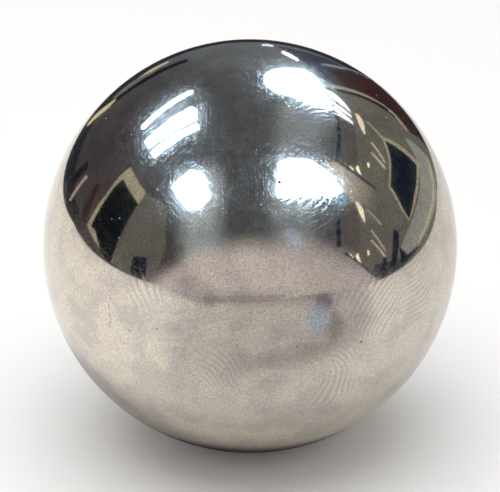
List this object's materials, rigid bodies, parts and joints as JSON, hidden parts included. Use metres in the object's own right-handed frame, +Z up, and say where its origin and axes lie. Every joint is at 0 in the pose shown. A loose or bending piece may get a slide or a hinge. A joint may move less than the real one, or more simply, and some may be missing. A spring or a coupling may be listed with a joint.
{
  "type": "steel ball",
  "caption": "Solid polished steel ball: a true sphere with a mirror finish, to roll, bear a load, set a gap or serve as a weight.",
  "frame": {"origin": "centre of the ball", "axes": "+Z up as the ball lies in the picture, +Y away from the viewer, +X to the viewer's right; the ball is the same along every axis"},
  "size_m": [0.0381, 0.038, 0.0382],
  "materials": {
    "polished_steel": "lapped to a mirror, with fine handling scratches, faint finger marks and a few tiny pits"
  },
  "bodies": {
    "root": {"ball": "polished_steel"}
  },
  "joints": []
}
